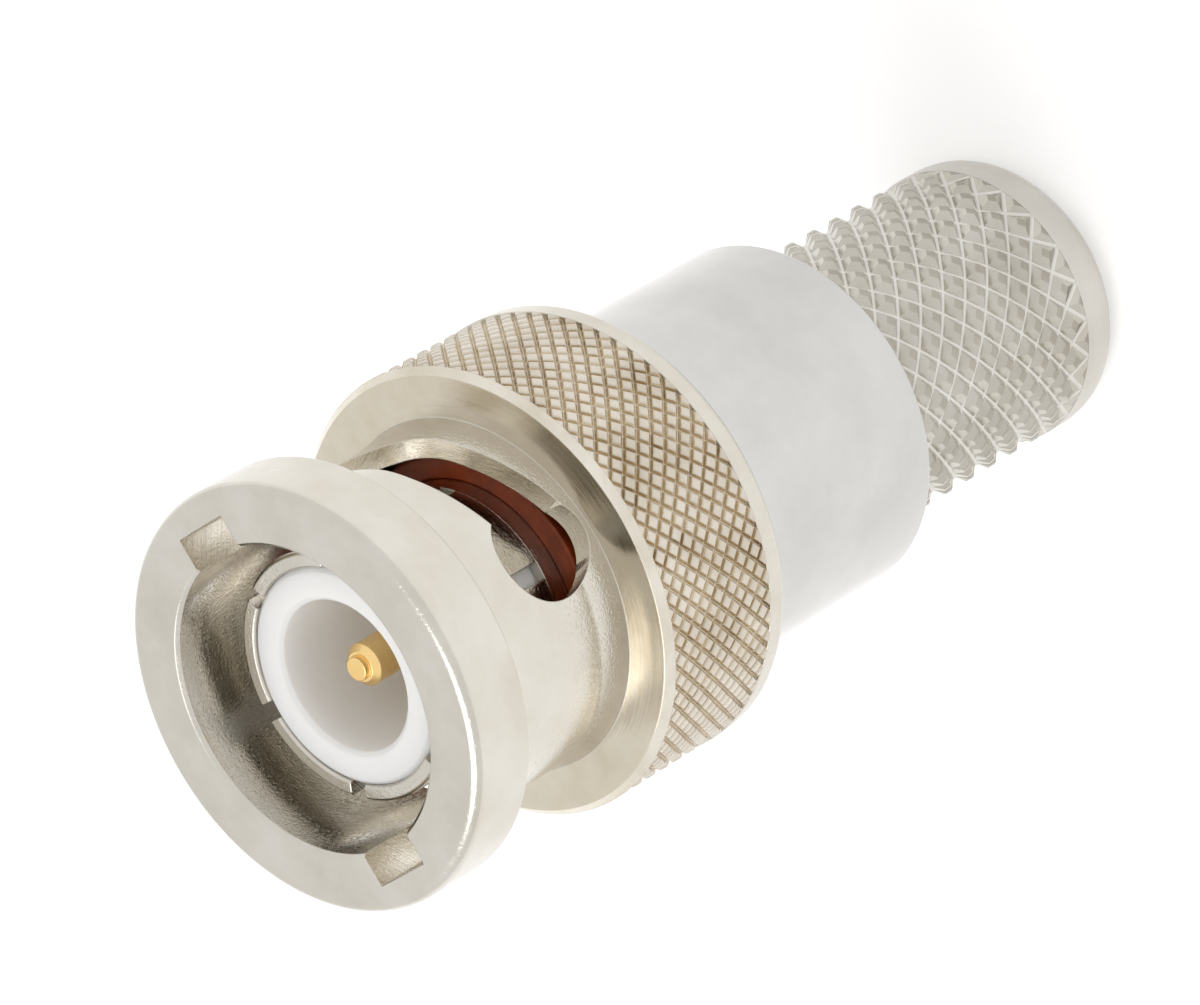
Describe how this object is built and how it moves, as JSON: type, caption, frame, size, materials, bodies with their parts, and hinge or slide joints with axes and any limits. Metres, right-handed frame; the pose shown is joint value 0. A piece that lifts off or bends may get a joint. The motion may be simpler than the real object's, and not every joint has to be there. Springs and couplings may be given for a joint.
{
  "type": "coaxial plug connector",
  "caption": "Bayonet-locking coaxial cable plug with a spring-loaded knurled coupling nut, slotted contact sleeve, centre pin and knurled cable grip.",
  "frame": {"origin": "centre of the cable end face, on the plug's axis", "axes": "+Z along the plug's axis towards the mating face; +X through one entry groove of the bayonet track"},
  "size_m": [0.0144, 0.0144, 0.0338],
  "materials": {
    "nut_nickel": "satin nickel plate on turned brass",
    "contact_nickel": "nickel plate on turned brass",
    "gasket_silicone": "brick red silicone rubber",
    "insulator_ptfe": "white turned PTFE",
    "pin_gold": "gold plate on brass",
    "washer_steel": "spring steel strip",
    "body_nickel": "polished nickel plate on turned brass",
    "grip_nickel": "bright nickel plate on knurled brass"
  },
  "bodies": {
    "plug_body": {"outer_contact": "contact_nickel", "front_gasket": "gasket_silicone", "front_insulator": "insulator_ptfe", "centre_pin": "pin_gold", "rear_insulator": "insulator_ptfe", "braid_post": "contact_nickel", "flat_washer": "washer_steel", "wave_washer_front": "washer_steel", "wave_washer_rear": "washer_steel", "rear_body": "body_nickel", "grip_sleeve": "grip_nickel"},
    "thrust_ring": {"thrust_washer": "washer_steel"},
    "nut": {"coupling_nut": "nut_nickel"}
  },
  "joints": [
    {"name": "coupling_travel", "type": "slide", "parent": "plug_body", "child": "thrust_ring", "axis": [0, 0, 1], "range_m": [0, 0.0006], "stiffness_N_per_m": 1500, "springref_m": -0.002, "deforming": ["wave_washer_front", "wave_washer_rear"]},
    {"name": "coupling_spin", "type": "hinge", "parent": "thrust_ring", "child": "nut", "pos_m": [0, 0, 0.0275], "axis": [0, 0, 1], "continuous": true}
  ]
}
